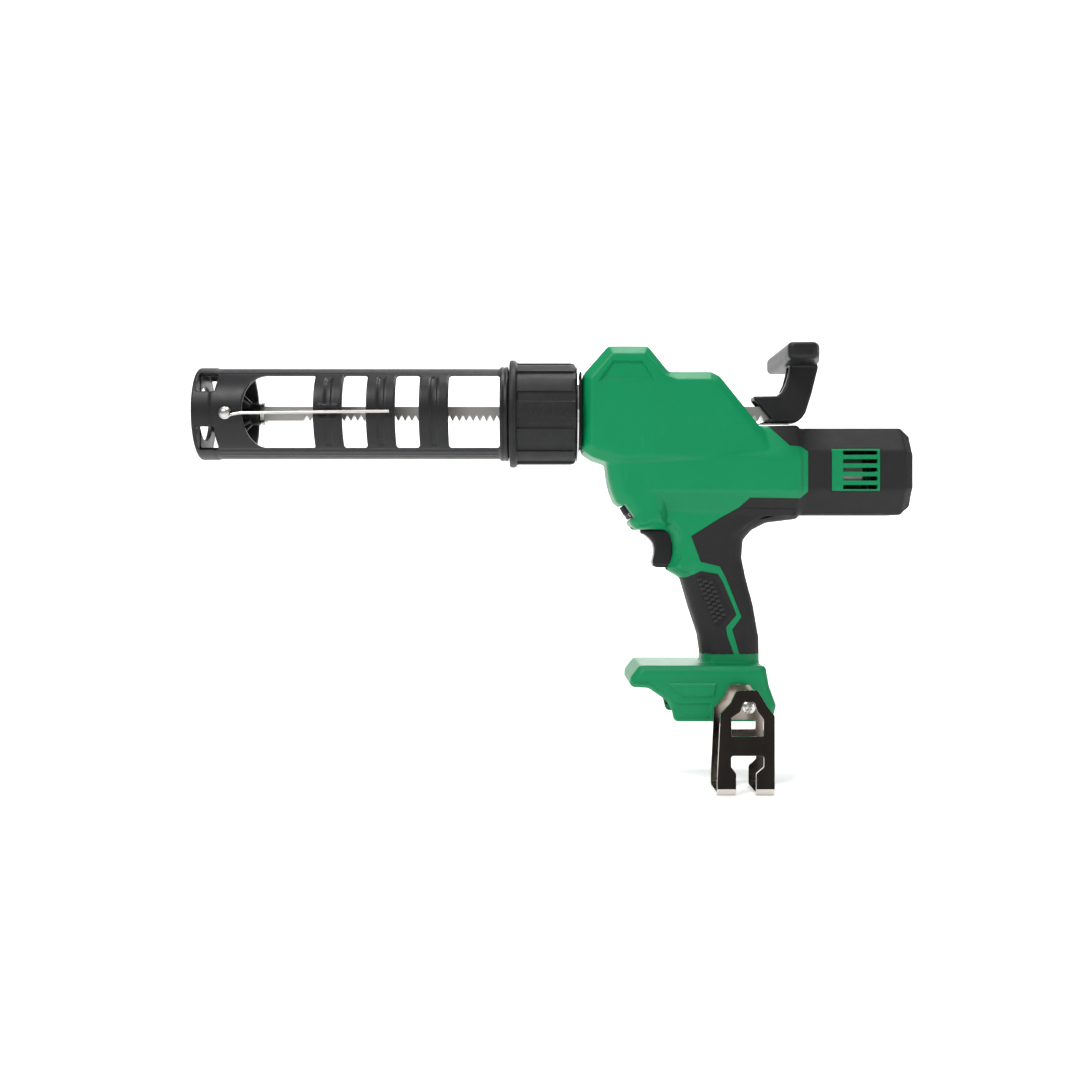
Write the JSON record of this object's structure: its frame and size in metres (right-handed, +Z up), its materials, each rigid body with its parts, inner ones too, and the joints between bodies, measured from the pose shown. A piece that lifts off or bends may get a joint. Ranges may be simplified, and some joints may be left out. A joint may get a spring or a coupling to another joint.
{
  "type": "caulking gun",
  "caption": "Battery powered caulking gun with a pistol grip, an open cartridge holder, a toothed rod with a pull handle, and a belt hook.",
  "frame": {"origin": "centre of the battery foot's underside, on the terminal block, midway between the foot's sides", "axes": "+Z up through the grip to the cartridge axis, -X towards the nozzle, +Y towards the holder's open side"},
  "size_m": [0.4493, 0.109, 0.2732],
  "materials": {
    "green_nylon": "fine moulded grain",
    "soft_overmould": "matte soft-touch",
    "black_nylon": "satin moulded",
    "plated_steel": "zinc plated",
    "black_chrome": "bright plated",
    "cast_aluminium": "as cast",
    "copper": "plain"
  },
  "bodies": {
    "gun_body": {"battery_blade_left": "copper", "battery_blade_right": "copper", "belt_hook": "black_chrome", "collar_ring": "plated_steel", "control_board": "green_nylon", "cross_bearing_left": "plated_steel", "cross_bearing_right": "plated_steel", "front_grip_skin_left": "soft_overmould", "front_grip_skin_right": "soft_overmould", "front_plate": "black_nylon", "gear_case": "cast_aluminium", "hook_screw": "plated_steel", "housing_left": "green_nylon", "housing_right": "green_nylon", "housing_screw_1": "plated_steel", "housing_screw_2": "plated_steel", "housing_screw_3": "plated_steel", "housing_screw_4": "plated_steel", "housing_screw_5": "plated_steel", "housing_screw_6": "plated_steel", "housing_screw_7": "plated_steel", "housing_screw_8": "plated_steel", "motor_can": "plated_steel", "motor_end_cap": "black_nylon", "nose_spigot": "cast_aluminium", "output_bearing_left": "plated_steel", "output_bearing_right": "plated_steel", "rear_grip_skin_left": "soft_overmould", "rear_grip_skin_right": "soft_overmould", "ring_gear": "plated_steel", "tail_skin_left": "soft_overmould", "tail_skin_right": "soft_overmould", "terminal_block": "black_nylon", "trigger_switch": "black_nylon"},
    "rod": {"rack": "plated_steel", "piston": "black_nylon", "piston_nut": "plated_steel", "pull_handle": "black_nylon", "handle_pin": "plated_steel"},
    "trigger": {"trigger": "black_nylon"},
    "dial": {"speed_dial": "black_nylon"},
    "holder": {"cartridge_holder": "black_nylon", "wire_rivet": "plated_steel"},
    "wire": {"puncture_wire": "plated_steel"},
    "collar": {"clamp_collar": "black_nylon"},
    "output": {"output_shaft": "plated_steel", "rack_pinion": "plated_steel"},
    "output_gear": {"output_gear": "plated_steel"},
    "cross": {"cross_shaft": "plated_steel", "cross_gear": "plated_steel", "bevel_gear": "plated_steel"},
    "carrier": {"planet_carrier": "plated_steel", "bevel_pinion": "plated_steel"},
    "planet_1": {"planet_gear_1": "plated_steel"},
    "planet_2": {"planet_gear_2": "plated_steel"},
    "planet_3": {"planet_gear_3": "plated_steel"},
    "rotor": {"motor_shaft": "plated_steel", "rotor_core": "plated_steel", "cooling_fan": "black_nylon"}
  },
  "joints": [
    {"name": "rod_slide", "type": "slide", "parent": "gun_body", "child": "rod", "axis": [1, 0, 0], "range_m": [0, 0.205]},
    {"name": "rack_pinion_spin", "type": "hinge", "parent": "gun_body", "child": "output", "pos_m": [-0.034, 0, 0.18143], "axis": [0, 1, 0], "continuous": true},
    {"name": "carrier_spin", "type": "hinge", "parent": "gun_body", "child": "carrier", "pos_m": [0.028, 0, 0.1552], "axis": [1, 0, 0], "continuous": true},
    {"name": "rotor_spin", "type": "hinge", "parent": "gun_body", "child": "rotor", "pos_m": [0.028, 0, 0.1552], "axis": [1, 0, 0], "continuous": true},
    {"name": "cross_shaft_spin", "type": "hinge", "parent": "gun_body", "child": "cross", "pos_m": [-0.04228, 0, 0.1552], "axis": [0, 1, 0], "continuous": true},
    {"name": "output_gear_spin", "type": "hinge", "parent": "gun_body", "child": "output_gear", "pos_m": [-0.034, 0, 0.18143], "axis": [0, 1, 0], "continuous": true},
    {"name": "planet_1_spin", "type": "hinge", "parent": "carrier", "child": "planet_1", "pos_m": [0.028, 0.0108, 0.1552], "axis": [1, 0, 0], "continuous": true},
    {"name": "planet_2_spin", "type": "hinge", "parent": "carrier", "child": "planet_2", "pos_m": [0.028, -0.0054, 0.16455], "axis": [1, 0, 0], "continuous": true},
    {"name": "planet_3_spin", "type": "hinge", "parent": "carrier", "child": "planet_3", "pos_m": [0.028, -0.0054, 0.14585], "axis": [1, 0, 0], "continuous": true},
    {"name": "trigger_pull", "type": "slide", "parent": "gun_body", "child": "trigger", "axis": [1, 0, 0], "range_m": [0, 0.0065], "stiffness_N_per_m": 900},
    {"name": "dial_turn", "type": "hinge", "parent": "gun_body", "child": "dial", "pos_m": [-0.0492, 0, 0.1332], "axis": [0.507, 0, -0.862], "range_deg": [0, 270]},
    {"name": "holder_turn", "type": "hinge", "parent": "gun_body", "child": "holder", "pos_m": [-0.1294, 0, 0.1927], "axis": [1, 0, 0], "continuous": true},
    {"name": "collar_turn", "type": "hinge", "parent": "gun_body", "child": "collar", "pos_m": [-0.108, 0, 0.1927], "axis": [1, 0, 0], "range_deg": [0, 360]},
    {"name": "wire_swing", "type": "hinge", "parent": "holder", "child": "wire", "pos_m": [-0.3046, 0, 0.1907], "axis": [0, 1, 0], "range_deg": [0, 180]}
  ],
  "couplings": [
    {"joint": "rack_pinion_spin", "follows": "rod_slide", "rad_per_m": 121.21},
    {"joint": "carrier_spin", "follows": "rotor_spin", "ratio": 0.22222},
    {"joint": "cross_shaft_spin", "follows": "rotor_spin", "ratio": 0.11111},
    {"joint": "output_gear_spin", "follows": "rotor_spin", "ratio": -0.051852},
    {"joint": "planet_1_spin", "follows": "rotor_spin", "ratio": -0.62222},
    {"joint": "planet_2_spin", "follows": "rotor_spin", "ratio": -0.62222},
    {"joint": "planet_3_spin", "follows": "rotor_spin", "ratio": -0.62222}
  ]
}
